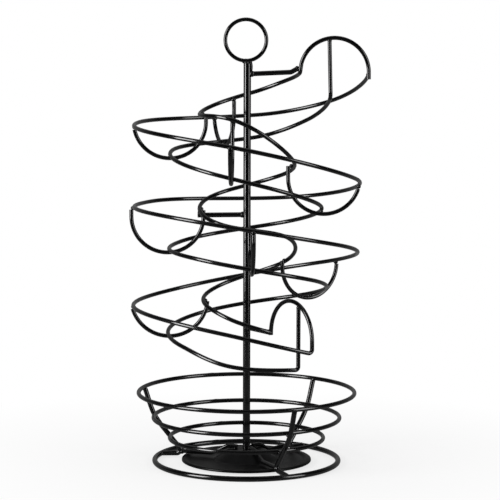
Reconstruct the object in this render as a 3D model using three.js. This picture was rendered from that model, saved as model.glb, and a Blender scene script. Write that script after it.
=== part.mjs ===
// Rolling egg dispenser: a spiral track of three steel wires on a centre post, over a round wire basket.
// Millimetres, +Z up. The origin is on the post's axis, on the surface that the base ring stands on.
import * as THREE from 'three';

// Wire diameters
const railWire = 3.5;
const cradleWire = 3.5;
const armWire = 4.2;
const carryRingWire = 3.2;
const basketRingWire = 3.6;
const basketRibWire = 4.3;
const discSpokeWire = 3.6;
const baseRingWire = 4.5;

// Clearances
const weldGap = 0.3;
const turningGap = 0.3;

// Spiral track: it starts at the right of the post, goes round behind it, and falls towards the basket
const spiralTurns = 2.842;
const spiralDrop = 216;
const trackEndAboveRim = 55.7;
const troughDepth = 30;
const outerRailRadius = 95;
const innerRailRadius = 40;
const railBendRadius = 2.8;
const entryBarBendRadius = 6;
const bendReachShare = 1.5;
const endSetbackShare = 0.65;
const entryBarLean = 1.2;
const entryFootPastRail = 2.6;

// Each rail was bent by eye, so its radius and fall are given at fifteen places, closer together at the ends
const placeShares = [
  0, 0.042, 0.083, 0.167, 0.25, 0.333, 0.417, 0.5, 0.583, 0.667, 0.75, 0.833, 0.917, 0.958, 1,
];
const outerRadiusShares = [
  1.072, 1.038, 1.012, 1, 1.001, 1, 1.002, 0.999, 1.001, 0.986, 0.988, 1.003, 1.016, 1.02, 1.025,
];
const innerRadiusShares = [
  1.11, 1.057, 1.025, 0.999, 1, 1, 1.001, 0.996, 1.01, 1.019, 1.026, 0.95, 0.91, 0.918, 0.93,
];
const bottomRadiusShares = [
  1.037, 1.016, 1.006, 0.963, 0.947, 0.934, 0.94, 0.963, 0.99, 0.99, 1.013, 0.993, 1, 1.065, 1.151,
];
const outerFallShares = [
  0.007, 0.124, 0.187, 0.203, 0.257, 0.402, 0.521, 0.523, 0.539, 0.645, 0.78, 0.892, 0.921, 0.964, 1.045,
];
const innerFallShares = [
  0, 0.04, 0.087, 0.16, 0.18, 0.335, 0.433, 0.504, 0.578, 0.63, 0.766, 0.856, 0.918, 0.959, 1,
];
const troughDepthShares = [
  0.658, 0.839, 0.971, 0.935, 1.231, 0.983, 1.003, 1.178, 1.056, 1.086, 0.932, 0.777, 0.924, 1.024, 0.699,
];

// Cradles that tie the three rails together, and the arms that tie the inner rail to the post
const cradleShares = [0.105, 0.176, 0.256, 0.355, 0.44, 0.528, 0.619, 0.738, 0.88];
const cradleSideShiftShares = [0, -0.7, 0, -0.7, 0, -0.1, 0, -0.35, -0.23];
const cradleSkewShares = [0, 0, -0.12, 0, 0, 0, 0, 0, 0];
const cradleSpreadShare = 0.76;
const middleArmShare = 0.535;
const topArmDip = 1.5;
const topArmEndRise = 2.6;
const topArmEndRun = 4.6;
const hoopFootCutShare = 0.055;

// Post, its threaded foot, and the nut and washer below the disc
const postDiameter = 6.3;
const postAboveArm = 7.6;
const footDiameter = 5;
const footPastNut = 0.6;
const nutAcrossFlats = 8;
const nutHeight = 4.4;
const washerDiameter = 14;
const washerThickness = 1;
const carryRingRadius = 17.2;
const carryRingAside = 1.2;

// Basket
const rimRadius = 91.8;
const rimHeight = 60.7;
const middleRingRadius = 79.2;
const middleRingHeight = 39.2;
const lowerRingRadius = 65.4;
const lowerRingHeight = 21.7;
const ribAngles = [-64.5, 50, 164];
const ribKinkPastDisc = 0.4;
const ribKinkHeight = 4.6;
const ribBendRadius = 3.2;
const baseRingRadius = 78.2;

// Disc
const discRadius = 55.2;
const discThickness = 1;
const discLipTop = 4.2;
const discLipWidth = 4;
const discLipRound = 1.2;
const discLipSlope = 3;
const discLipSkirt = 2.2;
const discFloorDrop = 1;
const domeTopHeight = 11.1;
const domeTopRadius = 16;
const domeFootRadius = 28;
const spokeInnerRadius = 8;

// Facets
const wireSides = 8;
const railSteps = 86;
const ringSteps = 44;
const hoopSteps = 12;
const cradleSteps = 12;
const bendSteps = 4;
const ribSteps = 8;
const postSides = 20;

const blackPaint = { color: 0x0b0b0c, roughness: 0.22, metalness: 0.35 };
const blackDisc = { color: 0x101011, roughness: 0.35, metalness: 0.3 };
const zincPlate = { color: 0xb4b6b8, roughness: 0.35, metalness: 0.9 };

const wireSection = (diameter) => {
  const corners = [];
  for (let i = 0; i < wireSides; i += 1) {
    const turn = (2 * Math.PI * (i + 0.5)) / wireSides;
    corners.push(new THREE.Vector2(Math.cos(turn), Math.sin(turn)).multiplyScalar(diameter / 2));
  }
  return new THREE.Shape(corners);
};

// A route through chosen points, which an extrusion follows from point to point
class WireRoute extends THREE.Curve {
  constructor(points) {
    super();
    this.points = points;
  }

  getPointAt(share, target = new THREE.Vector3()) {
    const last = this.points.length - 1;
    const place = Math.min(Math.max(share, 0), 1) * last;
    const before = Math.min(Math.floor(place), last - 1);
    return target.lerpVectors(this.points[before], this.points[before + 1], place - before);
  }

  getTangentAt(share, target = new THREE.Vector3()) {
    const last = this.points.length - 1;
    const here = Math.round(share * last);
    const into = this.points[Math.max(here, 1)].clone().sub(this.points[Math.max(here, 1) - 1]).normalize();
    const next = Math.min(here, last - 1);
    const away = this.points[next + 1].clone().sub(this.points[next]).normalize();
    return target.copy(into).add(away).normalize();
  }
}

const wireAlong = (points, diameter) =>
  new THREE.ExtrudeGeometry(wireSection(diameter), {
    steps: points.length - 1,
    extrudePath: new WireRoute(points),
  });

// A closed ring of wire about the Z axis, with a flat side down
const wireRing = (ringRadius, diameter) => {
  const profile = [];
  for (let i = 0; i <= wireSides; i += 1) {
    const turn = (2 * Math.PI * ((i % wireSides) + 0.5)) / wireSides;
    const across = (diameter / 2) * Math.cos(turn);
    const up = (diameter / 2) * Math.sin(turn);
    profile.push(new THREE.Vector2(ringRadius + across, up));
  }
  return new THREE.LatheGeometry(profile, ringSteps).rotateX(Math.PI / 2);
};

const turned = (profile, segments) => new THREE.LatheGeometry(profile, segments).rotateX(Math.PI / 2);

// The points of an arc of the bend radius that rounds a corner between two straight runs
const bendPoints = (before, corner, after, radius) => {
  const back = before.clone().sub(corner).normalize();
  const ahead = after.clone().sub(corner).normalize();
  const half = back.angleTo(ahead) / 2;
  const inward = back.clone().add(ahead).normalize();
  const centre = corner.clone().addScaledVector(inward, radius / Math.sin(half));
  const first = corner.clone().addScaledVector(back, radius / Math.tan(half)).sub(centre);
  const last = corner.clone().addScaledVector(ahead, radius / Math.tan(half)).sub(centre);
  const sweep = Math.PI - 2 * half;
  const points = [];
  for (let i = 0; i <= bendSteps; i += 1) {
    const share = i / bendSteps;
    const point = centre.clone().addScaledVector(first, Math.sin((1 - share) * sweep) / Math.sin(sweep));
    points.push(point.addScaledVector(last, Math.sin(share * sweep) / Math.sin(sweep)));
  }
  return points;
};

const inPlane = (radius, height) => new THREE.Vector3(radius, 0, height);
const turnedBy = (point, angle) => point.clone().applyAxisAngle(new THREE.Vector3(0, 0, 1), angle);

// Rails: each is a smooth course of radius and height along the run
const spiralAngle = spiralTurns * 2 * Math.PI;
const entryHeight = rimHeight + trackEndAboveRim + spiralDrop;
const bottomRailRadius = (outerRailRadius + innerRailRadius) / 2;
const outerHeights = outerFallShares.map((share) => entryHeight - spiralDrop * share);
const innerHeights = innerFallShares.map((share) => entryHeight - spiralDrop * share);
const bottomHeights = troughDepthShares.map(
  (share, i) => (outerHeights[i] + innerHeights[i]) / 2 - troughDepth * share,
);

// A smooth curve of radius and height through the places of a rail
class RailCourse {
  constructor(points) {
    this.points = points;
  }

  slopeAt(i) {
    const before = Math.max(i - 1, 0);
    const after = Math.min(i + 1, this.points.length - 1);
    const rise = this.points[after].clone().sub(this.points[before]);
    return rise.divideScalar(placeShares[after] - placeShares[before]);
  }

  getPoint(share) {
    const next = Math.max(placeShares.findIndex((place) => place >= Math.min(share, 1)), 1);
    const span = placeShares[next] - placeShares[next - 1];
    const t = (share - placeShares[next - 1]) / span;
    const weight = t * t * (3 - 2 * t);
    return this.points[next - 1]
      .clone()
      .lerp(this.points[next], weight)
      .addScaledVector(this.slopeAt(next - 1), span * t * (1 - t) ** 2)
      .addScaledVector(this.slopeAt(next), span * t * t * (t - 1));
  }
}

const course = (radius, radiusShares, heights) =>
  new RailCourse(radiusShares.map((share, i) => inPlane(radius * share, heights[i])));
const outerCourse = course(outerRailRadius, outerRadiusShares, outerHeights);
const innerCourse = course(innerRailRadius, innerRadiusShares, innerHeights);
const bottomCourse = course(bottomRailRadius, bottomRadiusShares, bottomHeights);
const railPoint = (rail, share) => turnedBy(rail.getPoint(share), spiralAngle * share);
const railPoints = (rail, from, to) => {
  const points = [];
  const steps = Math.max(2, Math.round(railSteps * (to - from)));
  for (let i = 0; i <= steps; i += 1) points.push(railPoint(rail, from + ((to - from) * i) / steps));
  return points;
};

// The half-round hoop over an end of the track, from the outer rail's radius to the inner rail's
const hoopAt = (share) => {
  const outer = outerCourse.getPoint(share);
  const inner = innerCourse.getPoint(share);
  return {
    angle: spiralAngle * share,
    centre: (outer.x + inner.x) / 2,
    radius: (outer.x - inner.x) / 2,
    height: inner.z,
    outerFoot: outer.z,
  };
};
const hoopArc = (hoop, fromTurn, toTurn) => {
  const points = [];
  for (let i = 0; i <= hoopSteps; i += 1) {
    const turn = Math.PI * (fromTurn + ((toTurn - fromTurn) * i) / hoopSteps);
    const radius = hoop.centre + hoop.radius * Math.cos(turn);
    points.push(turnedBy(inPlane(radius, hoop.height + hoop.radius * Math.sin(turn)), hoop.angle));
  }
  return points;
};
const entryHoop = hoopAt(0);
const exitHoop = hoopAt(1);
const bendReach = (bendRadius, railRadius) => (bendReachShare * bendRadius) / (railRadius * spiralAngle);
const endSetback = railWire * endSetbackShare + weldGap;
const outerEndShare = endSetback / (outerRailRadius * spiralAngle);
const innerEndShare = endSetback / (innerRailRadius * spiralAngle);

const outerRailRoute = () => {
  const foot = railPoint(outerCourse, 1);
  const end = 1 - bendReach(railBendRadius, outerRailRadius);
  const approach = railPoint(outerCourse, end);
  const arc = hoopArc(exitHoop, 0, 1);
  const innerFoot = arc[arc.length - 1].clone();
  innerFoot.z -= railWire / 2;
  return [
    ...railPoints(outerCourse, outerEndShare, end),
    ...bendPoints(approach, foot, arc[0], railBendRadius),
    ...arc,
    innerFoot,
  ];
};

const innerRailRoute = () => {
  const arc = hoopArc(entryHoop, 0, 1 - hoopFootCutShare);
  const outerFoot = arc[0].clone();
  outerFoot.z = entryHoop.outerFoot - railWire / 2 - entryFootPastRail;
  const corner = railPoint(innerCourse, 0);
  const start = bendReach(railBendRadius, innerRailRadius);
  const first = railPoint(innerCourse, start);
  return [
    outerFoot,
    ...arc.slice(0, -1),
    ...bendPoints(arc[arc.length - 1], corner, first, railBendRadius),
    ...railPoints(innerCourse, start, 1 - innerEndShare),
  ];
};

// A stop bar ends just under its hoop
const stopBarTop = (hoop, rail, share, lean) => {
  const radius = rail.getPoint(share).x - lean;
  const reach = hoop.radius - railWire / 2 - weldGap;
  const offCentre = Math.abs(radius - hoop.centre) + railWire / 2;
  const rise = Math.sqrt(reach * reach - offCentre * offCentre);
  return turnedBy(inPlane(radius, hoop.height + rise), hoop.angle);
};

const bottomRailRoute = () => {
  const entryTop = stopBarTop(entryHoop, bottomCourse, 0, entryBarLean);
  const entryFoot = railPoint(bottomCourse, 0);
  const exitTop = stopBarTop(exitHoop, bottomCourse, 1, 0);
  const exitFoot = railPoint(bottomCourse, 1);
  const start = bendReach(entryBarBendRadius, bottomRailRadius);
  const end = 1 - bendReach(railBendRadius, bottomRailRadius);
  const after = railPoint(bottomCourse, start);
  const before = railPoint(bottomCourse, end);
  return [
    entryTop,
    ...bendPoints(entryTop, entryFoot, after, entryBarBendRadius),
    ...railPoints(bottomCourse, start, end),
    ...bendPoints(before, exitFoot, exitTop, railBendRadius),
    exitTop,
  ];
};

// Where a rail crosses an upright plane that leaves the outer rail at a skew to the radius
const crossing = (rail, share, outerRadius, skew) => {
  const straight = rail.getPoint(share).x;
  const turn = Math.atan((skew * (outerRadius - straight)) / straight);
  const place = rail.getPoint(share + turn / spiralAngle);
  return inPlane(place.x * Math.cos(turn), place.z);
};

// A cradle is a U of wire in such a plane, most of them without a skew: it passes under the bottom rail,
// and its ends stop below or beside the outer and inner rails
const cradleRoute = (share, sideShift, skew) => {
  const outer = outerCourse.getPoint(share);
  const inner = crossing(innerCourse, share, outer.x, skew);
  const bottom = crossing(bottomCourse, share, outer.x, skew);
  const offset = (railWire + cradleWire) / 2 + weldGap;
  const radius = (outer.x - inner.x) / 2 + offset * cradleSpreadShare;
  const centre = (outer.x + inner.x) / 2 + sideShift;
  const inside = radius - offset;
  const height = bottom.z + Math.sqrt(inside * inside - (bottom.x - centre) ** 2);
  // How far a straight leg stands above the middle of the U's round, or below none, how far round it is cut
  const endOf = (rail) => {
    const across = Math.abs(rail.x - centre);
    const up = rail.z - height;
    const below = Math.sqrt(Math.max(offset * offset - (across - radius) ** 2, 0));
    if (up > below) return { rise: up - below, turn: 0 };
    const far = Math.hypot(across, up);
    const clear = (far * far + radius * radius - offset * offset) / (2 * far * radius);
    return { rise: 0, turn: Math.max(Math.acos(Math.min(clear, 1)) - Math.atan2(up, across), 0) };
  };
  const outerEnd = endOf(outer);
  const innerEnd = endOf(inner);
  const points = [];
  if (outerEnd.rise > 0) points.push(inPlane(centre + radius, height + outerEnd.rise));
  for (let i = 0; i <= cradleSteps; i += 1) {
    const turn = outerEnd.turn + ((Math.PI - innerEnd.turn - outerEnd.turn) * i) / cradleSteps;
    points.push(inPlane(centre + radius * Math.cos(turn), height - radius * Math.sin(turn)));
  }
  if (innerEnd.rise > 0) points.push(inPlane(centre - radius, height + innerEnd.rise));
  points.forEach((point) => point.setY(skew * (outer.x - point.x)));
  return points;
};

// Arms run out from the post's side to the inner rail or to an end hoop's inner foot, the top one with its
// end bent up
const armStart = postDiameter / 2 + weldGap;
const endArmReach = (hoop) => hoop.centre - hoop.radius - railWire / 2 - weldGap;
const topArmRoute = () => {
  const tilt = Math.atan2(topArmEndRise, topArmEndRun);
  const reach = endArmReach(entryHoop) - (armWire / 2) * Math.sin(tilt);
  return [
    inPlane(armStart, entryHoop.height - topArmDip),
    inPlane(reach - topArmEndRun, entryHoop.height),
    inPlane(reach, entryHoop.height + topArmEndRise),
  ];
};
const lowerArmRoute = () => [
  inPlane(armStart, exitHoop.height),
  inPlane(endArmReach(exitHoop), exitHoop.height),
];
const middleArmRoute = () => {
  const rail = innerCourse.getPoint(middleArmShare);
  const height = rail.z - (railWire + armWire) / 2 - weldGap;
  return [inPlane(armStart, height), inPlane(rail.x + railWire / 2, height)];
};

// Basket: the ribs lie outside the two smaller rings and end under the rim
const ribOffset = (basketRibWire + basketRingWire) / 2 + weldGap;
const rimPlace = inPlane(rimRadius, rimHeight);
const middlePlace = inPlane(middleRingRadius, middleRingHeight);
const lowerPlace = inPlane(lowerRingRadius, lowerRingHeight);
const ribKink = inPlane(discRadius + ribKinkPastDisc, ribKinkHeight);
const outsideOf = (below, place, above) => {
  const along = above.clone().sub(below).normalize();
  return place.clone().add(inPlane(along.z, -along.x).multiplyScalar(ribOffset));
};
const ribAtMiddle = outsideOf(lowerPlace, middlePlace, rimPlace);
const ribAtLower = outsideOf(ribKink, lowerPlace, middlePlace);
const towardsRim = rimPlace.clone().sub(ribAtMiddle).normalize();
const ribTop = rimPlace.clone().addScaledVector(towardsRim, -basketRingWire / 2 - weldGap);
const ribPlaces = [ribTop, ribAtMiddle, ribAtLower, ribKink];
const ribCourse = new THREE.CatmullRomCurve3(ribPlaces, false, 'catmullrom');
const ribStraightShare = 0.12;
const ringFlat = Math.cos(Math.PI / ringSteps);
const ribBendPoints = () => {
  const reach = (baseRingRadius - baseRingWire / 2) * ringFlat - weldGap;
  const spokeEnd = inPlane(reach, baseRingWire / 2 + basketRibWire / 4);
  const before = ribCourse.getPoint(1 - ribStraightShare);
  return { spokeEnd, bend: bendPoints(before, ribKink, spokeEnd, ribBendRadius) };
};
const basketRibRoute = () => {
  const { spokeEnd, bend } = ribBendPoints();
  const points = [];
  for (let i = 0; i <= ribSteps; i += 1) {
    points.push(ribCourse.getPoint(((1 - ribStraightShare) * i) / ribSteps));
  }
  return [...points, ...bend, spokeEnd];
};

// Disc: a pressed plate with a raised lip, turned down at its edge, and a dome with room under it for a nut
const discFloorTop = discLipTop - discFloorDrop;
const domeUnderside = domeTopHeight - discThickness;
const discHoleRadius = footDiameter / 2 + turningGap;
const discProfile = () => {
  const lipInner = discRadius - discLipWidth;
  const pairs = [
    [discHoleRadius, domeUnderside],
    [domeTopRadius - discThickness, domeUnderside],
    [domeFootRadius - discThickness, discFloorTop - discThickness],
    [lipInner - discLipSlope, discFloorTop - discThickness],
    [lipInner, discLipTop - discThickness],
    [discRadius - discThickness, discLipTop - discThickness],
    [discRadius - discThickness, discLipTop - discLipSkirt],
    [discRadius, discLipTop - discLipSkirt],
    [discRadius, discLipTop - discLipRound],
    [discRadius - discLipRound, discLipTop],
    [lipInner, discLipTop],
    [lipInner - discLipSlope, discFloorTop],
    [domeFootRadius, discFloorTop],
    [domeTopRadius, domeTopHeight],
    [discHoleRadius, domeTopHeight],
    [discHoleRadius, domeUnderside],
  ];
  return pairs.map(([radius, height]) => new THREE.Vector2(radius, height));
};

// A spoke lies on the disc's lip, climbs the dome and ends near the post
const discSpokeRoute = () => {
  const { bend } = ribBendPoints();
  const bendInside = Math.min(...bend.map((point) => point.x));
  const lift = discSpokeWire / 2 + weldGap;
  return [
    inPlane(bendInside - basketRibWire / 2 - weldGap, discLipTop + lift),
    inPlane(domeFootRadius + lift, discLipTop + lift),
    inPlane(domeTopRadius + lift / 2, domeTopHeight + lift),
    inPlane(spokeInnerRadius, domeTopHeight + lift),
  ];
};

// Post with its shoulder on the dome and its thinner threaded foot through the disc
const postTopHeight = entryHeight + postAboveArm;
const washerTop = domeUnderside - weldGap;
const nutTop = washerTop - washerThickness - weldGap;
const postProfile = () => {
  const shoulder = domeTopHeight + turningGap;
  const footEnd = nutTop - nutHeight - footPastNut;
  const pairs = [
    [0, footEnd],
    [footDiameter / 2, footEnd],
    [footDiameter / 2, shoulder],
    [postDiameter / 2, shoulder],
    [postDiameter / 2, postTopHeight],
    [0, postTopHeight],
  ];
  return pairs.map(([radius, height]) => new THREE.Vector2(radius, height));
};

const plateWithHole = (outline, holeRadius, thickness) => {
  const hole = new THREE.Path();
  hole.absarc(0, 0, holeRadius, 0, 2 * Math.PI, true);
  outline.holes.push(hole);
  return new THREE.ExtrudeGeometry(outline, {
    depth: thickness,
    bevelEnabled: false,
    curveSegments: postSides / 2,
  });
};
const washerShape = () => {
  const outline = new THREE.Shape();
  outline.absarc(0, 0, washerDiameter / 2, 0, 2 * Math.PI, false);
  return plateWithHole(outline, footDiameter / 2 + weldGap, washerThickness);
};
const nutShape = () => {
  const sides = 6;
  const cornerRadius = nutAcrossFlats / 2 / Math.cos(Math.PI / sides);
  const corners = [];
  for (let i = 0; i < sides; i += 1) {
    const turn = (2 * Math.PI * i) / sides;
    corners.push(new THREE.Vector2(cornerRadius * Math.cos(turn), cornerRadius * Math.sin(turn)));
  }
  return plateWithHole(new THREE.Shape(corners), footDiameter / 2 + weldGap / 2, nutHeight);
};

const add = (group, name, geometry, finish) => {
  const mesh = new THREE.Mesh(geometry, new THREE.MeshStandardMaterial(finish));
  mesh.name = name;
  group.add(mesh);
  return mesh;
};

// Base: the ring on the table, the basket and the disc
const base = new THREE.Group();
const baseRingHeight = (baseRingWire / 2) * Math.cos(Math.PI / wireSides);
add(base, 'base_ring', wireRing(baseRingRadius, baseRingWire), blackPaint).position.z = baseRingHeight;
add(base, 'basket_rim', wireRing(rimRadius, basketRingWire), blackPaint).position.z = rimHeight;
add(base, 'basket_middle_ring', wireRing(middleRingRadius, basketRingWire), blackPaint).position.z =
  middleRingHeight;
add(base, 'basket_lower_ring', wireRing(lowerRingRadius, basketRingWire), blackPaint).position.z =
  lowerRingHeight;
ribAngles.forEach((degrees, i) => {
  const angle = THREE.MathUtils.degToRad(degrees);
  const rib = add(base, `basket_rib_${i + 1}`, wireAlong(basketRibRoute(), basketRibWire), blackPaint);
  rib.rotation.z = angle;
  const spoke = add(base, `disc_spoke_${i + 1}`, wireAlong(discSpokeRoute(), discSpokeWire), blackPaint);
  spoke.rotation.z = angle;
});
add(base, 'base_disc', turned(discProfile(), ringSteps), blackDisc);
add(base, 'foot_washer', washerShape(), zincPlate).position.z = washerTop - washerThickness;

// Tower: the post with its carry ring and nut, and the spiral track
const tower = new THREE.Group();
add(tower, 'centre_post', turned(postProfile(), postSides), blackPaint);
add(tower, 'foot_nut', nutShape(), zincPlate).position.z = nutTop - nutHeight;
const carryRing = add(tower, 'carry_ring', wireRing(carryRingRadius, carryRingWire), blackPaint);
carryRing.rotation.x = Math.PI / 2;
carryRing.position.x = -carryRingAside;
carryRing.position.z = postTopHeight + weldGap + carryRingWire / 2 + carryRingRadius;
add(tower, 'outer_rail', wireAlong(outerRailRoute(), railWire), blackPaint);
add(tower, 'inner_rail', wireAlong(innerRailRoute(), railWire), blackPaint);
add(tower, 'bottom_rail', wireAlong(bottomRailRoute(), railWire), blackPaint);
cradleShares.forEach((share, i) => {
  const route = cradleRoute(share, cradleWire * cradleSideShiftShares[i], cradleSkewShares[i]);
  const cradle = add(tower, `track_cradle_${i + 1}`, wireAlong(route, cradleWire), blackPaint);
  cradle.rotation.z = spiralAngle * share;
});
add(tower, 'top_arm', wireAlong(topArmRoute(), armWire), blackPaint);
const middleArm = add(tower, 'middle_arm', wireAlong(middleArmRoute(), armWire), blackPaint);
middleArm.rotation.z = spiralAngle * middleArmShare;
const lowerArm = add(tower, 'lower_arm', wireAlong(lowerArmRoute(), armWire), blackPaint);
lowerArm.rotation.z = spiralAngle;

const eggDispenser = new THREE.Group();
eggDispenser.add(base, tower);

export default eggDispenser;
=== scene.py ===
import math

import bpy
from mathutils import Matrix, Vector, noise


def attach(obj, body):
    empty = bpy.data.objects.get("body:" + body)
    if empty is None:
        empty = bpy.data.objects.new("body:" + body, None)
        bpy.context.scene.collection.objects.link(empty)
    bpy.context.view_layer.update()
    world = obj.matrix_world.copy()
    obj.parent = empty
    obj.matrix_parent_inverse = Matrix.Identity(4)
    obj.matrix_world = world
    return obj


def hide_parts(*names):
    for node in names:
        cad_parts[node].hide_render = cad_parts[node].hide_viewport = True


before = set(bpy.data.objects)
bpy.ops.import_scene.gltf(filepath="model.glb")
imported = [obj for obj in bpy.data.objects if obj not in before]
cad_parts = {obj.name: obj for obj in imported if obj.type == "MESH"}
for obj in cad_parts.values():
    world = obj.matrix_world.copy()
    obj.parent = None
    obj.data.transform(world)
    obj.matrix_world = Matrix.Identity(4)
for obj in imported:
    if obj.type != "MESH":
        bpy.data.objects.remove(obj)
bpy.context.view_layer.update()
mm = 0.001  # sizes are in millimetres up to the point where a mesh is made


# Selection and finishing helpers

def deselectAll():
    if bpy.context.mode != "OBJECT":
        bpy.ops.object.mode_set(mode="OBJECT")
    bpy.ops.object.select_all(action="DESELECT")


def takeUp(piece):
    deselectAll()
    piece.select_set(True)
    bpy.context.view_layer.objects.active = piece


def settle(piece, name):
    takeUp(piece)
    bpy.ops.object.transform_apply(location=True, rotation=True, scale=True)
    piece.name = name
    piece.data.name = name
    return piece


def applyModifier(piece, kind, **settings):
    takeUp(piece)
    modifier = piece.modifiers.new(kind.title(), kind)
    for key, value in settings.items():
        setattr(modifier, key, value)
    bpy.ops.object.modifier_apply(modifier=modifier.name)


def smoothFaces(piece, degrees):
    takeUp(piece)
    bpy.ops.object.shade_smooth_by_angle(angle=math.radians(degrees))


def hangOn(piece, body, finish, slotName, *nodes):
    piece.data.materials.clear()
    piece.data.materials.append(finish)
    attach(piece, body)
    if nodes:
        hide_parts(*nodes)


# Shader maths: a Flow is one value on its way through a material's nodes

class Flow:
    def __init__(self, maker, socket):
        self.maker = maker
        self.socket = socket

    def withMaths(self, operation, first, second):
        return self.maker.node("ShaderNodeMath", {"operation": operation}, {0: first, 1: second})

    def __add__(self, other):
        return self.withMaths("ADD", self, other)

    def __radd__(self, other):
        return self.withMaths("ADD", other, self)

    def __rsub__(self, other):
        return self.withMaths("SUBTRACT", other, self)

    def __mul__(self, other):
        return self.withMaths("MULTIPLY", self, other)

    def __rmul__(self, other):
        return self.withMaths("MULTIPLY", other, self)


class FinishMaker:
    def __init__(self, name):
        self.material = bpy.data.materials.new(name)
        self.material.use_nodes = True
        self.tree = self.material.node_tree
        self.shader = self.tree.nodes["Principled BSDF"]
        self.place = self.node("ShaderNodeTexCoord", output="Object")

    def node(self, kind, settings=None, inputs=None, output=0):
        made = self.tree.nodes.new(kind)
        for key, value in (settings or {}).items():
            setattr(made, key, value)
        for key, value in (inputs or {}).items():
            self.feed(made.inputs[key], value)
        return Flow(self, made.outputs[output])

    def feed(self, socket, value):
        if isinstance(value, Flow):
            self.tree.links.new(value.socket, socket)
        else:
            socket.default_value = value

    def grain(self, scale, detail, roughness=0.5):
        return self.node("ShaderNodeTexNoise", inputs={
            "Vector": self.place, "Scale": scale, "Detail": detail, "Roughness": roughness})

    def between(self, limits, grain):
        low, high = limits
        return self.node("ShaderNodeMapRange", {"clamp": True}, {
            "Value": grain, "From Min": low, "From Max": high})

    def bump(self, strength, distance, height):
        return self.node("ShaderNodeBump", inputs={
            "Strength": strength, "Distance": distance, "Height": height})

    def mixColour(self, mask, first, second):
        colours = {0: mask, 6: first, 7: second}  # a Mix node has its two colours at 6 and 7
        return self.node("ShaderNodeMix", {"data_type": "RGBA"}, colours, 2)

    def seenBy(self, *kinds):
        paths = self.tree.nodes.new("ShaderNodeLightPath")
        seen = [Flow(self, paths.outputs[f"Is {kind} Ray"]) for kind in kinds]
        return sum(seen[1:], seen[0])

    def set(self, **sockets):
        for key, value in sockets.items():
            self.feed(self.shader.inputs[key.replace("_", " ")], value)
        return self.material


def grey(level, tint=0.0):
    return (level, level, level * (1 + tint), 1)


# Finishes: noise scales are per metre, bump heights in metres

paint = {
    "deep": 0.0012, "worn": 0.0032, "tint": 0.08, "wornLimits": (0.42, 0.72),
    "roughness": 0.12, "roughnessSwing": 0.06, "shine": 0.56,
    "peelScale": 120, "peelDetail": 2, "peelHeight": 0.00003, "peelStrength": 0.05,
    "driftScale": 38, "driftDetail": 4, "driftRoughness": 0.62,
}


def paintColour(maker, worn):
    return maker.mixColour(worn, grey(paint["deep"], paint["tint"]), grey(paint["worn"], paint["tint"]))


def makePaint():
    maker = FinishMaker("blackGlossPaint")
    peel = maker.grain(paint["peelScale"], paint["peelDetail"])
    drift = maker.grain(paint["driftScale"], paint["driftDetail"], paint["driftRoughness"])
    worn = maker.between(paint["wornLimits"], drift)
    return maker.set(
        Base_Color=paintColour(maker, worn),
        Normal=maker.bump(paint["peelStrength"], paint["peelHeight"], peel),
        Roughness=worn * paint["roughnessSwing"] + paint["roughness"],
        Specular_IOR_Level=paint["shine"])


weldPaint = {
    "lumpScale": 900, "lumpDetail": 3, "lumpRoughness": 0.6, "lumpHeight": 0.00012, "lumpStrength": 0.5,
    "roughness": 0.24, "wornLimits": (0.4, 0.7),
}


def makeWeldPaint():
    maker = FinishMaker("blackPaintOverWeld")
    lump = maker.grain(weldPaint["lumpScale"], weldPaint["lumpDetail"], weldPaint["lumpRoughness"])
    worn = maker.between(weldPaint["wornLimits"], lump)
    return maker.set(
        Base_Color=paintColour(maker, worn),
        Normal=maker.bump(weldPaint["lumpStrength"], weldPaint["lumpHeight"], lump),
        Roughness=worn * paint["roughnessSwing"] + weldPaint["roughness"])


discPaint = {
    "deep": 0.0016, "deepTint": 0.06, "dusty": 0.004, "dustyTint": 0.04,
    "roughness": 0.3, "roughnessSwing": 0.14, "shine": 0.14,
    "fineScale": 700, "fineDetail": 3, "fineHeight": 0.00005, "fineStrength": 0.3,
    "dustScale": 26, "dustDetail": 6, "dustRoughness": 0.65, "dustLimits": (0.45, 0.75),
}


def makeDiscPaint():
    maker = FinishMaker("blackSatinPaint")
    fine = maker.grain(discPaint["fineScale"], discPaint["fineDetail"])
    cloud = maker.grain(discPaint["dustScale"], discPaint["dustDetail"], discPaint["dustRoughness"])
    dust = maker.between(discPaint["dustLimits"], cloud)
    deep = grey(discPaint["deep"], discPaint["deepTint"])
    dusty = grey(discPaint["dusty"], discPaint["dustyTint"])
    return maker.set(
        Base_Color=maker.mixColour(dust, deep, dusty),
        Normal=maker.bump(discPaint["fineStrength"], discPaint["fineHeight"], fine),
        Specular_IOR_Level=discPaint["shine"],
        Roughness=dust * discPaint["roughnessSwing"] + discPaint["roughness"])


zinc = {
    "light": (0.62, 0.63, 0.64, 1), "dark": (0.36, 0.365, 0.37, 1), "roughness": 0.3, "roughnessSwing": 0.22,
    "spangleScale": 240, "spangleDetail": 4, "spangleRoughness": 0.6, "spangleLimits": (0.38, 0.66),
    "scratchScale": 1500, "scratchDetail": 2, "scratchHeight": 0.00003, "scratchStrength": 0.3,
}


def makeZinc():
    maker = FinishMaker("zincPlate")
    flake = maker.grain(zinc["spangleScale"], zinc["spangleDetail"], zinc["spangleRoughness"])
    spangle = maker.between(zinc["spangleLimits"], flake)
    scratch = maker.grain(zinc["scratchScale"], zinc["scratchDetail"])
    return maker.set(
        Base_Color=maker.mixColour(spangle, zinc["dark"], zinc["light"]), Metallic=1.0,
        Normal=maker.bump(zinc["scratchStrength"], zinc["scratchHeight"], scratch),
        Roughness=zinc["roughness"] + zinc["roughnessSwing"] * (1 - spangle))


blackPaint = makePaint()
paintOverWeld = makeWeldPaint()
satinPaint = makeDiscPaint()
zincPlate = makeZinc()
print("finishes made")


# Wire forming: a route in millimetres becomes a round wire with softly broken ends

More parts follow.
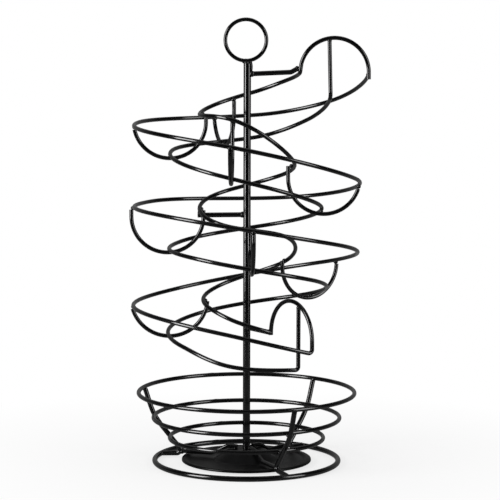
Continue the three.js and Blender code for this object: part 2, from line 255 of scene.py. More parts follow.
wireForm = {
    "roundness": 5, "endBreak": 0.35, "endBreakSteps": 2, "smoothDegrees": 40, "mergeDistance": 0.01,
    "bendSteps": 10, "ringSteps": 144, "ringSides": 20, "seamSwell": 0.2, "seamFlushShare": 0.25,
}
weldGap = 0.3  # between two welded wires, bridged by a bead
turningGap = 0.3
up = Vector((0, 0, 1))


def atAngle(radius, height, angle):
    return Vector((radius * math.cos(angle), radius * math.sin(angle), height))


def formWire(name, route, diameter):
    curve = bpy.data.curves.new(name, "CURVE")
    curve.dimensions = "3D"
    curve.twist_mode = "MINIMUM"
    curve.bevel_depth = diameter / 2 * mm
    curve.bevel_resolution = wireForm["roundness"]
    curve.use_fill_caps = True
    spline = curve.splines.new("POLY")
    spline.points.add(len(route) - 1)
    for point, place in zip(spline.points, route):
        point.co = (*(place * mm), 1)
    strand = bpy.data.objects.new(name, curve)
    bpy.context.collection.objects.link(strand)
    takeUp(strand)
    bpy.ops.object.convert(target="MESH")
    strand = bpy.context.view_layer.objects.active
    bpy.ops.object.mode_set(mode="EDIT")
    bpy.ops.mesh.select_all(action="SELECT")
    bpy.ops.mesh.remove_doubles(threshold=wireForm["mergeDistance"] * mm)
    bpy.ops.mesh.normals_make_consistent(inside=False)
    bpy.ops.mesh.select_all(action="DESELECT")
    bpy.ops.mesh.select_mode(type="FACE")
    bpy.ops.object.mode_set(mode="OBJECT")
    for face in strand.data.polygons:
        face.select = len(face.vertices) > 4  # the two end caps
    bpy.ops.object.mode_set(mode="EDIT")
    bpy.ops.mesh.bevel(
        offset=wireForm["endBreak"] * mm, segments=wireForm["endBreakSteps"], affect="EDGES",
        clamp_overlap=True)
    bpy.ops.object.mode_set(mode="OBJECT")
    smoothFaces(strand, wireForm["smoothDegrees"])
    return settle(strand, name)


def formRing(name, radius, diameter, place, seamDegrees, turn=(0, 0, 0), steps=wireForm["ringSteps"]):
    deselectAll()
    bpy.ops.mesh.primitive_torus_add(
        major_radius=radius * mm, minor_radius=diameter / 2 * mm, major_segments=steps,
        minor_segments=wireForm["ringSides"], location=place * mm, rotation=turn)
    ring = bpy.context.object
    # The ring's two ends meet in a butt weld, dressed to a low swelling that is flush below
    bpy.ops.object.mode_set(mode="EDIT")
    bpy.ops.mesh.select_mode(type="VERT")
    bpy.ops.mesh.select_all(action="DESELECT")
    bpy.ops.object.mode_set(mode="OBJECT")
    seam = atAngle(1, 0, math.radians(seamDegrees))
    flush = -diameter * wireForm["seamFlushShare"] * mm
    for corner in ring.data.vertices:
        beside = Vector((corner.co.x, corner.co.y, 0)).angle(seam)
        corner.select = beside < math.pi / steps and corner.co.z > flush
    bpy.ops.object.mode_set(mode="EDIT")
    bpy.ops.transform.shrink_fatten(value=wireForm["seamSwell"] * mm)
    bpy.ops.object.mode_set(mode="OBJECT")
    smoothFaces(ring, wireForm["smoothDegrees"])
    return settle(ring, name)


def turnOnLathe(name, profile, sides, closed=False):
    deselectAll()
    radius, height = profile[0]
    bpy.ops.mesh.primitive_circle_add(
        vertices=sides, radius=radius * mm, fill_type="NOTHING", location=(0, 0, height * mm))
    turned = bpy.context.object
    bpy.ops.object.mode_set(mode="EDIT")
    bpy.ops.mesh.select_mode(type="VERT")
    bpy.ops.mesh.select_all(action="SELECT")
    if not closed:
        bpy.ops.mesh.edge_face_add()
    for nextRadius, nextHeight in profile[1:]:
        bpy.ops.mesh.extrude_region_move()
        bpy.ops.transform.translate(value=(0, 0, (nextHeight - height) * mm))
        ratio = nextRadius / radius
        bpy.ops.transform.resize(value=(ratio, ratio, 1), center_override=(0, 0, 0))
        radius, height = nextRadius, nextHeight
    bpy.ops.mesh.select_all(action="SELECT")
    bpy.ops.mesh.remove_doubles(threshold=wireForm["mergeDistance"] * mm)
    bpy.ops.mesh.normals_make_consistent(inside=False)
    bpy.ops.object.mode_set(mode="OBJECT")
    return settle(turned, name)


def arcBend(before, corner, after, radius, steps=wireForm["bendSteps"]):
    back = (before - corner).normalized()
    ahead = (after - corner).normalized()
    half = back.angle(ahead) / 2
    centre = corner + (back + ahead).normalized() * (radius / math.sin(half))
    first = corner + back * (radius / math.tan(half)) - centre
    last = corner + ahead * (radius / math.tan(half)) - centre
    turn = math.pi - 2 * half
    return [centre + first * (math.sin((1 - i / steps) * turn) / math.sin(turn))
            + last * (math.sin(i / steps * turn) / math.sin(turn)) for i in range(steps + 1)]


# A weld is noted here where two wires meet, and all beads are made at the end. Its size is three half
# widths, the last one along the bead.
weldSpots = {"base": [], "tower": []}


def weldAt(body, place, along, size):
    weldSpots[body].append((place, along, size))


# Sizes of the pressed disc, which the post, its nut and the spokes are set against

disc = {
    "radius": 55.2, "thickness": 1, "lipTop": 4.2, "lipWidth": 4, "lipSlope": 3, "lipSkirt": 2.2,
    "floorDrop": 1, "domeTop": 11.1, "domeTopRadius": 16, "domeFootRadius": 28, "sides": 128,
    "bends": {"edge": 0.25, "lip": 1.2, "crest": 5, "slope": 6, "dome": 5}, "bendSteps": 5,
    "smoothDegrees": 40,
}


# Post with its threaded foot, and the nut and washer that hold it below the disc

post = {
    "diameter": 6.3, "top": 340, "topBreak": 0.5, "shoulderBreak": 0.4, "sides": 48, "smoothDegrees": 30,
    "footDiameter": 5, "threadDepth": 0.32, "threadPitch": 0.8, "footPastNut": 0.6,
}
nut = {
    "acrossFlats": 8, "height": 4.4, "turnDegrees": 60, "edgeBreak": 0.35, "breakSteps": 3,
    "breakDegrees": 40, "drillSides": 40, "smoothDegrees": 35,
}
washer = {"diameter": 14, "thickness": 1, "edgeShare": 0.2, "sides": 64, "smoothDegrees": 35}
washerTop = disc["domeTop"] - disc["thickness"] - weldGap
nutTop = washerTop - washer["thickness"] - weldGap


def makePost():
    shoulder = disc["domeTop"] + turningGap
    footEnd = nutTop - nut["height"] - post["footPastNut"]
    radius = post["diameter"] / 2
    crest = post["footDiameter"] / 2
    root = crest - post["threadDepth"]
    profile = [(root, footEnd), (crest, footEnd + post["threadDepth"])]
    height = footEnd + post["threadPitch"] / 2
    while height < shoulder - post["threadPitch"]:
        profile += [(root, height), (crest, height + post["threadPitch"] / 2)]
        height += post["threadPitch"]
    profile += [
        (crest, shoulder), (radius - post["shoulderBreak"], shoulder),
        (radius, shoulder + post["shoulderBreak"]), (radius, post["top"] - post["topBreak"]),
        (radius - post["topBreak"], post["top"])]
    piece = turnOnLathe("centrePostPiece", profile, post["sides"])
    smoothFaces(piece, post["smoothDegrees"])
    hangOn(piece, "tower", blackPaint, "black_paint", "centre_post")


def makeNut():
    deselectAll()
    acrossCorners = nut["acrossFlats"] / math.cos(math.pi / 6)
    middle = nutTop - nut["height"] / 2
    bpy.ops.mesh.primitive_cylinder_add(
        vertices=6, radius=acrossCorners / 2 * mm, depth=nut["height"] * mm, location=(0, 0, middle * mm),
        rotation=(0, 0, math.radians(nut["turnDegrees"])))
    piece = bpy.context.object
    deselectAll()
    bpy.ops.mesh.primitive_cylinder_add(
        vertices=nut["drillSides"], radius=(post["footDiameter"] + weldGap) / 2 * mm,
        depth=nut["height"] * 2 * mm, location=(0, 0, middle * mm))
    drill = bpy.context.object
    applyModifier(piece, "BOOLEAN", operation="DIFFERENCE", object=drill, solver="EXACT")
    bpy.data.objects.remove(drill)
    applyModifier(piece, "BEVEL", width=nut["edgeBreak"] * mm, segments=nut["breakSteps"],
                  limit_method="ANGLE", angle_limit=math.radians(nut["breakDegrees"]))
    smoothFaces(piece, nut["smoothDegrees"])
    hangOn(settle(piece, "footNutPiece"), "tower", zincPlate, "zinc_plate", "foot_nut")


def makeWasher():
    hole = post["footDiameter"] / 2 + weldGap
    outside = washer["diameter"] / 2
    low = washerTop - washer["thickness"]
    edge = washer["thickness"] * washer["edgeShare"]
    profile = [(hole, low), (outside - edge, low), (outside, low + edge), (outside, washerTop - edge),
               (outside - edge, washerTop), (hole, washerTop), (hole, low)]
    piece = turnOnLathe("footWasherPiece", profile, washer["sides"], closed=True)
    smoothFaces(piece, washer["smoothDegrees"])
    hangOn(piece, "base", zincPlate, "zinc_plate", "foot_washer")


makePost()
makeNut()
makeWasher()

carryRing = {
    "radius": 17.2, "wire": 3.2, "aside": 1.2, "steps": 96, "seamDegrees": 270,
    "footWeld": (2.4, 2.5, 3.0), "footWeldDrop": 0.4,
    "sideWeld": (1.5, 1.6, 1.7), "sideWeldReach": 2.3, "sideWeldRise": 1.2,
    "ridgeWeld": (1.5, 1.6, 5.2), "ridgeWeldDrop": 3.4,
}


def makeCarryRing():
    top = post["top"]
    middle = Vector((-carryRing["aside"], 0, top + weldGap + carryRing["wire"] / 2 + carryRing["radius"]))
    upright = (math.pi / 2, 0, 0)
    ring = formRing("carryRingPiece", carryRing["radius"], carryRing["wire"], middle,
                    carryRing["seamDegrees"], upright, carryRing["steps"])
    hangOn(ring, "tower", blackPaint, "black_paint", "carry_ring")
    foot = -carryRing["aside"] / 2
    weldAt("tower", Vector((foot, 0, top - carryRing["footWeldDrop"])), up, carryRing["footWeld"])
    for side in (-1, 1):
        place = Vector((foot + side * carryRing["sideWeldReach"], 0, top + carryRing["sideWeldRise"]))
        weldAt("tower", place, Vector((side, 0, 0)), carryRing["sideWeld"])
    ridge = Vector((post["diameter"] / 2, 0, top - carryRing["ridgeWeldDrop"]))
    weldAt("tower", ridge, up, carryRing["ridgeWeld"])


makeCarryRing()
print("post, carry ring, nut and washer made")


# Spiral track: three rails and their hoops and stop bars. The rails were bent by hand, so each table of
# shares says at fifteen places along the track how it stands to the even spiral.

spiral = {
    "turns": 2.842, "entryHeight": 332.4, "drop": 216, "troughDepth": 30,
    "outerRadius": 95, "innerRadius": 40, "wire": 3.5, "bend": 2.8, "entryBarBend": 6,
    "bendReachShare": 1.5, "entryBarLean": 1.2, "entryFootPastRail": 2.6,
    "endSetbackShare": 0.65, "steps": 430, "hoopSteps": 40, "hoopFootCutShare": 0.055,
    "placeShares": [
        0, 0.042, 0.083, 0.167, 0.25, 0.333, 0.417, 0.5, 0.583, 0.667, 0.75, 0.833, 0.917, 0.958, 1],
    "outerRadiusShares": [
        1.072, 1.038, 1.012, 1, 1.001, 1, 1.002, 0.999, 1.001, 0.986, 0.988, 1.003, 1.016, 1.02, 1.025],
    "innerRadiusShares": [
        1.11, 1.057, 1.025, 0.999, 1, 1, 1.001, 0.996, 1.01, 1.019, 1.026, 0.95, 0.91, 0.918, 0.93],
    "bottomRadiusShares": [
        1.037, 1.016, 1.006, 0.963, 0.947, 0.934, 0.94, 0.963, 0.99, 0.99, 1.013, 0.993, 1, 1.065, 1.151],
    "outerFallShares": [
        0.007, 0.124, 0.187, 0.203, 0.257, 0.402, 0.521, 0.523, 0.539, 0.645, 0.78, 0.892, 0.921, 0.964,
        1.045],
    "innerFallShares": [
        0, 0.04, 0.087, 0.16, 0.18, 0.335, 0.433, 0.504, 0.578, 0.63, 0.766, 0.856, 0.918, 0.959, 1],
    "troughDepthShares": [
        0.658, 0.839, 0.971, 0.935, 1.231, 0.983, 1.003, 1.178, 1.056, 1.086, 0.932, 0.777, 0.924, 1.024,
        0.699],
    "barWeld": (1.9, 1.9, 1.7), "barWeldRise": 0.5, "footWeld": (1.9, 1.9, 2.2), "footWeldInset": 0.5,
}
sweep = spiral["turns"] * 2 * math.pi
railWire = spiral["wire"]
bottomRadius = (spiral["outerRadius"] + spiral["innerRadius"]) / 2


def railPlaces(radius, radiusShares, heights):
    return [Vector((radius * share, height)) for share, height in zip(radiusShares, heights)]


outerHeights = [spiral["entryHeight"] - spiral["drop"] * share for share in spiral["outerFallShares"]]
innerHeights = [spiral["entryHeight"] - spiral["drop"] * share for share in spiral["innerFallShares"]]
bottomHeights = [
    (outer + inner) / 2 - spiral["troughDepth"] * share
    for outer, inner, share in zip(outerHeights, innerHeights, spiral["troughDepthShares"])]
outerPlaces = railPlaces(spiral["outerRadius"], spiral["outerRadiusShares"], outerHeights)
innerPlaces = railPlaces(spiral["innerRadius"], spiral["innerRadiusShares"], innerHeights)
bottomPlaces = railPlaces(bottomRadius, spiral["bottomRadiusShares"], bottomHeights)


def railSlope(places, i):
    before = max(i - 1, 0)
    after = min(i + 1, len(places) - 1)
    return (places[after] - places[before]) / (spiral["placeShares"][after] - spiral["placeShares"][before])


def coursePlace(places, share):
    marks = spiral["placeShares"]
    following = next(i for i in range(1, len(marks)) if marks[i] >= min(share, 1))
    span = marks[following] - marks[following - 1]
    t = (share - marks[following - 1]) / span
    place = places[following - 1].lerp(places[following], t * t * (3 - 2 * t))
    place += railSlope(places, following - 1) * span * t * (1 - t) ** 2
    return place + railSlope(places, following) * span * t * t * (t - 1)


def onRail(places, share):
    radius, height = coursePlace(places, share)
    return atAngle(radius, height, sweep * share)


def railRun(places, start, end):
    steps = round(spiral["steps"] * (end - start))
    return [onRail(places, start + (end - start) * i / steps) for i in range(steps + 1)]


def hoopOver(share):
    outer = coursePlace(outerPlaces, share)
    inner = coursePlace(innerPlaces, share)
    return {"angle": sweep * share, "centre": (outer.x + inner.x) / 2, "radius": (outer.x - inner.x) / 2,
            "height": inner.y, "outerFoot": outer.y}


def hoopRun(hoop, start, end):
    run = []
    for i in range(spiral["hoopSteps"] + 1):
        turn = math.pi * (start + (end - start) * i / spiral["hoopSteps"])
        run.append(atAngle(hoop["centre"] + hoop["radius"] * math.cos(turn),
                           hoop["height"] + hoop["radius"] * math.sin(turn), hoop["angle"]))
    return run


entryHoop = hoopOver(0)
exitHoop = hoopOver(1)
setback = railWire * spiral["endSetbackShare"] + weldGap
outerSetback = setback / (spiral["outerRadius"] * sweep)
innerSetback = setback / (spiral["innerRadius"] * sweep)


def bendReach(bend, railRadius):
    return spiral["bendReachShare"] * bend / (railRadius * sweep)


def makeOuterRail():
    arc = hoopRun(exitHoop, 0, 1)
    last = 1 - bendReach(spiral["bend"], spiral["outerRadius"])
    route = railRun(outerPlaces, outerSetback, last)
    route += arcBend(route[-1], onRail(outerPlaces, 1), arc[0], spiral["bend"])
    route += arc + [arc[-1] - up * (railWire / 2)]
    rail = formWire("outerRailPiece", route, railWire)
    hangOn(rail, "tower", blackPaint, "black_paint", "outer_rail")


def makeInnerRail():
    arc = hoopRun(entryHoop, 0, 1 - spiral["hoopFootCutShare"])
    lowFoot = arc[0].copy()
    lowFoot.z = entryHoop["outerFoot"] - railWire / 2 - spiral["entryFootPastRail"]
    first = bendReach(spiral["bend"], spiral["innerRadius"])
    run = railRun(innerPlaces, first, 1 - innerSetback)
    bend = arcBend(arc[-1], onRail(innerPlaces, 0), run[0], spiral["bend"])
    rail = formWire("innerRailPiece", [lowFoot, *arc[:-1], *bend, *run], railWire)
    hangOn(rail, "tower", blackPaint, "black_paint", "inner_rail")


def makeBottomRail():
    tops = []
    for hoop, share, lean in ((entryHoop, 0, spiral["entryBarLean"]), (exitHoop, 1, 0)):
        radius = coursePlace(bottomPlaces, share).x - lean
        reach = hoop["radius"] - railWire / 2 - weldGap
        aside = abs(radius - hoop["centre"]) + railWire / 2
        tops.append(atAngle(radius, hoop["height"] + math.sqrt(reach ** 2 - aside ** 2), hoop["angle"]))
        weldAt("tower", tops[-1] + up * spiral["barWeldRise"], up, spiral["barWeld"])
    first = bendReach(spiral["entryBarBend"], bottomRadius)
    run = railRun(bottomPlaces, first, 1 - bendReach(spiral["bend"], bottomRadius))
    entryBend = arcBend(tops[0], onRail(bottomPlaces, 0), run[0], spiral["entryBarBend"])
    exitBend = arcBend(run[-1], onRail(bottomPlaces, 1), tops[1], spiral["bend"])
    rail = formWire("bottomRailPiece", [tops[0], *entryBend, *run, *exitBend, tops[1]], railWire)
    hangOn(rail, "tower", blackPaint, "black_paint", "bottom_rail")


def weldHoopFeet():
    outerEnd = onRail(outerPlaces, outerSetback)
    outerFoot = atAngle(
        entryHoop["centre"] + entryHoop["radius"] - spiral["footWeldInset"], entryHoop["outerFoot"], 0)
    weldAt("tower", (outerEnd + outerFoot) / 2, outerEnd - outerFoot, spiral["footWeld"])
    innerEnd = onRail(innerPlaces, 1 - innerSetback)
    innerFoot = atAngle(exitHoop["centre"] - exitHoop["radius"], exitHoop["height"], exitHoop["angle"])
    weldAt("tower", (innerEnd + innerFoot) / 2, innerFoot - innerEnd, spiral["footWeld"])


makeOuterRail()
makeInnerRail()
makeBottomRail()
weldHoopFeet()
print("rails made")


# Cradles: U-shaped wires under the rails, some shifted or turned askew on the real stand

cradle = {
    "wire": 3.5, "steps": 40, "spreadShare": 0.76, "weld": (1.8, 1.8, 2.1), "reachShare": 0.002,
    "shares": [0.105, 0.176, 0.256, 0.355, 0.44, 0.528, 0.619, 0.738, 0.88],
    "sideShiftShares": [0, -0.7, 0, -0.7, 0, -0.1, 0, -0.35, -0.23],
    "skewShares": [0, 0, -0.12, 0, 0, 0, 0, 0, 0],
}


def crossing(places, share, outerRadius, skew):
    straight = coursePlace(places, share).x
    turn = math.atan(skew * (outerRadius - straight) / straight)
    place = coursePlace(places, share + turn / sweep)
    return Vector((place.x * math.cos(turn), place.y)), onRail(places, share + turn / sweep)


def makeCradle(number, share, sideShift, skew):
    outer = coursePlace(outerPlaces, share)
    inner, onInner = crossing(innerPlaces, share, outer.x, skew)
    bottom, onBottom = crossing(bottomPlaces, share, outer.x, skew)
    offset = (railWire + cradle["wire"]) / 2 + weldGap
    radius = (outer.x - inner.x) / 2 + offset * cradle["spreadShare"]
    centre = (outer.x + inner.x) / 2 + sideShift
    height = bottom.y + math.sqrt((radius - offset) ** 2 - (bottom.x - centre) ** 2)

    def endAt(rail):
        # how far the end rises straight up, or by what turn it stops short, to clear the rail
        across = abs(rail.x - centre)
        above = rail.y - height
        below = math.sqrt(max(offset ** 2 - (across - radius) ** 2, 0))
        if above > below:
            return above - below, 0
        far = math.hypot(across, above)
        clear = (far ** 2 + radius ** 2 - offset ** 2) / (2 * far * radius)
        return 0, max(math.acos(min(clear, 1)) - math.atan2(above, across), 0)

    outerRise, outerTurn = endAt(outer)
    innerRise, innerTurn = endAt(inner)
    route = []
    if outerRise:
        route.append(Vector((centre + radius, 0, height + outerRise)))
    for i in range(cradle["steps"] + 1):
        turn = outerTurn + (math.pi - innerTurn - outerTurn) * i / cradle["steps"]
        route.append(Vector((centre + radius * math.cos(turn), 0, height - radius * math.sin(turn))))
    if innerRise:
        route.append(Vector((centre - radius, 0, height + innerRise)))
    for place in route:
        place.y = skew * (outer.x - place.x)
        place.rotate(Matrix.Rotation(sweep * share, 3, "Z"))
    piece = formWire(f"trackCradlePiece{number}", route, cradle["wire"])
    hangOn(piece, "tower", blackPaint, "black_paint", f"track_cradle_{number}")

    reach = cradle["reachShare"]
    along = onRail(bottomPlaces, share + reach) - onRail(bottomPlaces, share - reach)
    lowest = min(route, key=lambda place: (place - onBottom).length)
    for cradlePlace, railPlace in (
            (route[0], onRail(outerPlaces, share)), (route[-1], onInner), (lowest, onBottom)):
        weldAt("tower", (cradlePlace + railPlace) / 2, along, cradle["weld"])


for index, share in enumerate(cradle["shares"]):
    sideShift = cradle["wire"] * cradle["sideShiftShares"][index]
    makeCradle(index + 1, share, sideShift, cradle["skewShares"][index])
print("cradles made")


# Arms from the post to the two hoops and to the inner rail

arm = {
    "wire": 4.2, "middleShare": 0.535, "topDip": 1.5, "topEndRise": 2.6, "topEndRun": 4.6, "topBend": 5,
    "topWeldShift": 0.8, "postWeld": (2.7, 2.7, 2.6), "postWeldShift": 0.3,
    "railWeld": (1.9, 2.3, 2.1), "railWeldShift": 0.2, "filletWeld": (1.4, 1.5, 2.2), "filletRise": 1.4,
}
armStart = post["diameter"] / 2 + weldGap


def makeArm(name, node, route):
    piece = formWire(name, route, arm["wire"])
    hangOn(piece, "tower", blackPaint, "black_paint", node)
    along = (route[1] - route[0]).normalized()
    weldAt("tower", route[0] + along * arm["postWeldShift"], along, arm["postWeld"])


def armReach(hoop):
    return hoop["centre"] - hoop["radius"] - railWire / 2 - weldGap


def makeTopArm():
    height, angle = entryHoop["height"], entryHoop["angle"]
    tilt = math.atan2(arm["topEndRise"], arm["topEndRun"])
    reach = armReach(entryHoop) - arm["wire"] / 2 * math.sin(tilt)
    inner = atAngle(armStart, height - arm["topDip"], angle)
    knee = atAngle(reach - arm["topEndRun"], height, angle)
    end = atAngle(reach, height + arm["topEndRise"], angle)
    makeArm("topArmPiece", "top_arm", [inner, *arcBend(inner, knee, end, arm["topBend"]), end])
    along = (end - knee).normalized()
    weldAt("tower", end + along * arm["topWeldShift"], along, arm["railWeld"])


def makeLowerArm():
    height, angle = exitHoop["height"], exitHoop["angle"]
    inner = atAngle(armStart, height, angle)
    end = atAngle(armReach(exitHoop), height, angle)
    makeArm("lowerArmPiece", "lower_arm", [inner, (inner + end) / 2, end])
    along = (end - inner).normalized()
    weldAt("tower", end + along * arm["railWeldShift"], along, arm["railWeld"])
    weldAt("tower", end + up * arm["filletRise"], along + up, arm["filletWeld"])


def makeMiddleArm():
    rail = coursePlace(innerPlaces, arm["middleShare"])
    height = rail.y - (railWire + arm["wire"]) / 2 - weldGap
    angle = sweep * arm["middleShare"]
    inner = atAngle(armStart, height, angle)
    end = atAngle(rail.x + railWire / 2, height, angle)
    makeArm("middleArmPiece", "middle_arm", [inner, (inner + end) / 2, end])
    railAlong = Vector((-math.sin(angle), math.cos(angle), 0))
    weldAt("tower", atAngle(rail.x, (rail.y + height) / 2, angle), railAlong, arm["railWeld"])


makeTopArm()
makeLowerArm()
makeMiddleArm()
print("arms made")


# Basket: rings, ribs bent out to the base ring, and spokes over the disc

basket = {
    "ringWire": 3.6, "ribWire": 4.3, "spokeWire": 3.6, "baseWire": 4.5,
    "rimRadius": 91.8, "rimHeight": 60.7, "middleRadius": 79.2, "middleHeight": 39.2,
    "lowerRadius": 65.4, "lowerHeight": 21.7, "baseRadius": 78.2, "seamDegrees": 110,
    "ribDegrees": [-64.5, 50, 164], "kinkRadius": 55.6, "kinkHeight": 4.6, "ribBend": 3.2, "ribSteps": 32,
    "straightShare": 0.12, "footRiseShare": 0.25,
    "spokeInnerRadius": 8, "spokeFootBend": 14, "spokeCrestBend": 12,
    "ringWeld": (1.7, 1.7, 2.7), "footWeld": (2.0, 1.7, 3.0),
    "spokeWeld": (2.0, 2.0, 2.2), "spokeWeldIn": 0.8, "spokeWeldDrop": 0.6,
    "tipWeld": (1.8, 0.9, 2.3), "tipWeldOut": 1.5, "tipWeldRise": 0.5,
}


def outsideOf(below, place, above):
    along = (above - below).normalized()
    offset = (basket["ribWire"] + basket["ringWire"]) / 2 + weldGap
    return place + Vector((along.y, -along.x)) * offset


rim = Vector((basket["rimRadius"], basket["rimHeight"]))
middleRing = Vector((basket["middleRadius"], basket["middleHeight"]))
lowerRing = Vector((basket["lowerRadius"], basket["lowerHeight"]))
baseRing = Vector((basket["baseRadius"], basket["baseWire"] / 2))
kink = Vector((basket["kinkRadius"], basket["kinkHeight"]))
ribAtMiddle = outsideOf(lowerRing, middleRing, rim)
ribAtLower = outsideOf(kink, lowerRing, middleRing)
ribTop = rim - (rim - ribAtMiddle).normalized() * (basket["ringWire"] / 2 + weldGap)
ribCourse = [ribTop, ribAtMiddle, ribAtLower, kink]
ribFoot = baseRing + Vector((-basket["baseWire"] / 2 - weldGap, basket["ribWire"] * basket["footRiseShare"]))


def makeRings():
    for name, node, ring, size in (
            ("baseRingPiece", "base_ring", baseRing, basket["baseWire"]),
            ("basketRimPiece", "basket_rim", rim, basket["ringWire"]),
            ("basketMiddleRingPiece", "basket_middle_ring", middleRing, basket["ringWire"]),
            ("basketLowerRingPiece", "basket_lower_ring", lowerRing, basket["ringWire"])):
        piece = formRing(name, ring.x, size, Vector((0, 0, ring.y)), basket["seamDegrees"])
        hangOn(piece, "base", blackPaint, "black_paint", node)


def onRib(share):
    # a smooth course through the rib's four places
    ends = [ribCourse[0] * 2 - ribCourse[1], *ribCourse, ribCourse[-1] * 2 - ribCourse[-2]]
    along = share * (len(ribCourse) - 1)
    start = min(int(along), len(ribCourse) - 2)
    t = along - start
    before, first, last, after = ends[start:start + 4]
    slopeIn = (last - before) / 2
    slopeOut = (after - first) / 2
    cube = first * 2 - last * 2 + slopeIn + slopeOut
    square = last * 3 - first * 3 - slopeIn * 2 - slopeOut
    return cube * t ** 3 + square * t ** 2 + slopeIn * t + first


def makeRib(number, angle, bend):
    straightEnd = 1 - basket["straightShare"]
    course = [onRib(straightEnd * i / basket["ribSteps"]) for i in range(basket["ribSteps"] + 1)]
    course += [*bend, ribFoot]
    route = [atAngle(place.x, place.y, angle) for place in course]
    rib = formWire(f"basketRibPiece{number}", route, basket["ribWire"])
    hangOn(rib, "base", blackPaint, "black_paint", f"basket_rib_{number}")


def makeSpoke(number, angle, corners):
    course = [corners[0], *arcBend(*corners[:3], basket["spokeFootBend"]),
              *arcBend(*corners[1:], basket["spokeCrestBend"]), corners[3]]
    route = [atAngle(place.x, place.y, angle) for place in course]
    spoke = formWire(f"discSpokePiece{number}", route, basket["spokeWire"])
    hangOn(spoke, "base", blackPaint, "black_paint", f"disc_spoke_{number}")


def makeRibAndSpoke(number, degrees):
    angle = math.radians(degrees)
    lastStraight = onRib(1 - basket["straightShare"])
    bend = arcBend(lastStraight.to_3d(), kink.to_3d(), ribFoot.to_3d(), basket["ribBend"])
    makeRib(number, angle, bend)
    lift = basket["spokeWire"] / 2 + weldGap
    outerEnd = min(place.x for place in bend) - basket["ribWire"] / 2 - weldGap
    corners = [
        Vector((outerEnd, disc["lipTop"] + lift, 0)),
        Vector((disc["domeFootRadius"] + lift, disc["lipTop"] + lift, 0)),
        Vector((disc["domeTopRadius"] + lift / 2, disc["domeTop"] + lift, 0)),
        Vector((basket["spokeInnerRadius"], disc["domeTop"] + lift, 0))]
    makeSpoke(number, angle, corners)

    tangent = Vector((-math.sin(angle), math.cos(angle), 0))
    root = (corners[0].x + basket["spokeWeldIn"], corners[0].y - basket["spokeWeldDrop"])
    tip = (corners[3].x + basket["tipWeldOut"], disc["domeTop"] + basket["tipWeldRise"])
    for (radius, height), size in (
            ((rim + ribTop) / 2, basket["ringWeld"]), ((middleRing + ribAtMiddle) / 2, basket["ringWeld"]),
            ((lowerRing + ribAtLower) / 2, basket["ringWeld"]), (ribFoot, basket["footWeld"]),
            (root, basket["spokeWeld"]), (tip, basket["tipWeld"])):
        weldAt("base", atAngle(radius, height, angle), tangent, size)


makeRings()
for index, degrees in enumerate(basket["ribDegrees"]):
    makeRibAndSpoke(index + 1, degrees)
print("basket made")


# Pressed disc, turned from its section: the dome, the floor, the raised lip and its skirt

def makeDisc():
    hole = post["footDiameter"] / 2 + turningGap
    wall = disc["thickness"]
    floorTop = disc["lipTop"] - disc["floorDrop"]
    floorUnder = floorTop - wall
    domeUnder = disc["domeTop"] - wall
    lip = disc["radius"] - disc["lipWidth"]
    slopeFoot = lip - disc["lipSlope"]
    edge = disc["radius"]
    crest = disc["lipTop"]
    hem = crest - disc["lipSkirt"]
    corners = [
        (hole, domeUnder, "edge"), (disc["domeTopRadius"] - wall, domeUnder, "dome"),
        (disc["domeFootRadius"] - wall, floorUnder, "dome"), (slopeFoot, floorUnder, "slope"),
        (lip, crest - wall, "crest"), (edge - wall, crest - wall, "edge"), (edge - wall, hem, "edge"),
        (edge, hem, "edge"), (edge, crest, "lip"), (lip, crest, "crest"), (slopeFoot, floorTop, "slope"),
        (disc["domeFootRadius"], floorTop, "dome"), (disc["domeTopRadius"], disc["domeTop"], "dome"),
        (hole, disc["domeTop"], "edge")]
    places = [Vector((radius, height, 0)) for radius, height, bend in corners]
    profile = []
    for number, (radius, height, bend) in enumerate(corners):
        after = places[(number + 1) % len(places)]
        rounding = disc["bends"][bend]
        profile += arcBend(places[number - 1], places[number], after, rounding, disc["bendSteps"])
    profile = [(place.x, place.y) for place in profile + profile[:1]]
    piece = turnOnLathe("baseDiscPiece", profile, disc["sides"], closed=True)
    smoothFaces(piece, disc["smoothDegrees"])
    hangOn(piece, "base", satinPaint, "disc_paint", "base_disc")


makeDisc()
print("disc made")


# Weld beads: one lumpy bead is copied to every noted place, and each body's beads are joined

weld = {"refine": 3, "lumpiness": 0.1, "lumpScale": 0.7, "lumpStep": 3.7, "smoothDegrees": 60}


def makeWelds(body):
    deselectAll()
    bpy.ops.mesh.primitive_ico_sphere_add(subdivisions=weld["refine"], radius=1)
    blank = bpy.context.object
    beads = []
    for number, (place, along, size) in enumerate(weldSpots[body]):
        bead = blank.copy()
        bead.data = blank.data.copy()
        bpy.context.collection.objects.link(bead)
        turn = along.normalized().to_track_quat("Z", "Y").to_matrix().to_4x4()
        stretch = Matrix.Diagonal((size[0] * mm, size[1] * mm, size[2] * mm, 1))
        for corner in bead.data.vertices:
            swell = noise.noise(corner.co * weld["lumpScale"] + Vector((number * weld["lumpStep"], 0, 0)))
            corner.co *= 1 + weld["lumpiness"] * swell
        bead.data.transform(Matrix.Translation(place * mm) @ turn @ stretch)
        beads.append(bead)
    bpy.data.objects.remove(blank)
    deselectAll()
    for bead in beads:
        bead.select_set(True)
    bpy.context.view_layer.objects.active = beads[0]
    bpy.ops.object.join()
    joined = bpy.context.object
    smoothFaces(joined, weld["smoothDegrees"])
    hangOn(settle(joined, body + "Welds"), body, paintOverWeld, "black_paint")


makeWelds("base")
makeWelds("tower")
print("welds made")


# Floor, light and camera, in metres and watts

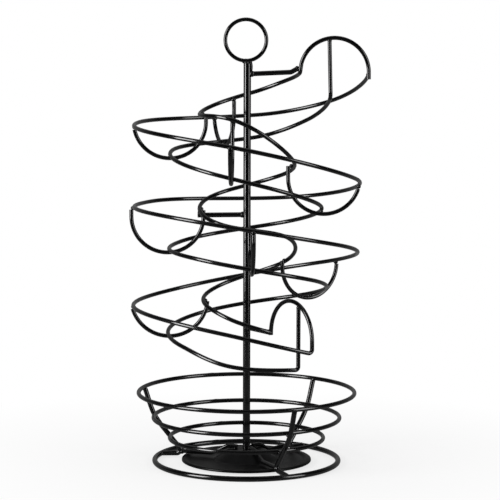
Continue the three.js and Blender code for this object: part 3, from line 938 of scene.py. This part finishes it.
studio = {
    "floorSize": 1.3, "floorShade": 0.93, "floorRoughness": 0.9, "nearGlow": 0.74,
    "fadeLimits": (0.1, 0.35), "backdropLimits": (0.3, 0.7),
    "ambient": 0.3, "darkSide": 0.01, "mirrored": 0.2,
    "lamps": [
        {"name": "leftBox", "place": (-1.94, -1.03, 0.7), "size": (0.9, 1.7), "power": 64, "aim": 0.3},
        {"name": "rightBox", "place": (1.94, -1.03, 0.7), "size": (0.9, 1.7), "power": 27, "aim": 0.3},
        {"name": "topBox", "place": (0.0, 0.2, 2.4), "size": (2.4, 2.4), "power": 8, "aim": 0.15},
    ],
}
viewpoint = {
    "lens": 154.8, "sensor": 36, "place": (0.00264, -1.807, 0.3828), "pitch": -6.329, "roll": 0.145,
    "clipEnd": 50,
}
white = (1, 1, 1, 1)


class BackdropMaker(FinishMaker):
    def __init__(self, world):
        world.use_nodes = True
        self.tree = world.node_tree
        self.place = self.node("ShaderNodeTexCoord", output="Generated")


# The camera sees a white world, gloss sees it fade from dark in front to pale behind
def makeWorld():
    world = bpy.data.worlds.new("paleStudio")
    bpy.context.scene.world = world
    maker = BackdropMaker(world)
    depth = maker.node("ShaderNodeSeparateXYZ", inputs={0: maker.place}, output="Y")
    behind = maker.between(studio["backdropLimits"], depth)
    reflected = behind * (studio["mirrored"] - studio["darkSide"]) + studio["darkSide"]
    mirrored = maker.seenBy("Glossy") * reflected
    light = maker.seenBy("Diffuse") * studio["ambient"]
    background = maker.tree.nodes["Background"]
    background.inputs["Color"].default_value = white
    maker.feed(background.inputs["Strength"], maker.seenBy("Camera", "Transmission") + mirrored + light)


# The floor takes the object's shadow near it, and fades to white further out
def makeFloor():
    deselectAll()
    bpy.ops.mesh.primitive_plane_add(size=studio["floorSize"], location=(0, 0, 0))
    floor = bpy.context.object
    floor.name = "floor"
    maker = FinishMaker("paleFloor")
    maker.set(
        Base_Color=grey(studio["floorShade"]), Roughness=studio["floorRoughness"], Specular_IOR_Level=0.0)
    glow = maker.node("ShaderNodeEmission", inputs={
        "Color": white, "Strength": 1 - maker.seenBy("Glossy") * (1 - studio["mirrored"])})
    far = maker.node("ShaderNodeVectorMath", {"operation": "LENGTH"}, {0: maker.place}, "Value")
    fade = maker.between(studio["fadeLimits"], far) * (1 - studio["nearGlow"])
    share = maker.seenBy("Camera", "Transmission") * (fade + studio["nearGlow"]) + maker.seenBy("Glossy")
    blend = maker.node("ShaderNodeMixShader", inputs={
        0: share, 1: Flow(maker, maker.shader.outputs[0]), 2: glow})
    maker.feed(maker.tree.nodes["Material Output"].inputs["Surface"], blend)
    floor.data.materials.append(maker.material)


def makeLamps():
    for lamp in studio["lamps"]:
        light = bpy.data.lights.new(lamp["name"], "AREA")
        light.shape = "RECTANGLE"
        light.size, light.size_y = lamp["size"]
        light.energy = lamp["power"]
        holder = bpy.data.objects.new(lamp["name"], light)
        bpy.context.collection.objects.link(holder)
        holder.location = lamp["place"]
        towards = Vector((0, 0, lamp["aim"])) - Vector(lamp["place"])
        holder.rotation_euler = towards.to_track_quat("-Z", "Y").to_euler()


def makeCamera():
    lens = bpy.data.cameras.new("camera")
    lens.sensor_width = viewpoint["sensor"]
    lens.lens = viewpoint["lens"]
    lens.clip_end = viewpoint["clipEnd"]
    camera = bpy.data.objects.new("camera", lens)
    bpy.context.collection.objects.link(camera)
    tilt = Matrix.Rotation(math.radians(90 + viewpoint["pitch"]), 4, "X")
    roll = Matrix.Rotation(math.radians(viewpoint["roll"]), 4, "Z")
    camera.matrix_world = Matrix.Translation(viewpoint["place"]) @ tilt @ roll
    bpy.context.scene.camera = camera
    bpy.context.scene.view_settings.view_transform = "Standard"


makeWorld()
makeFloor()
makeLamps()
makeCamera()
deselectAll()
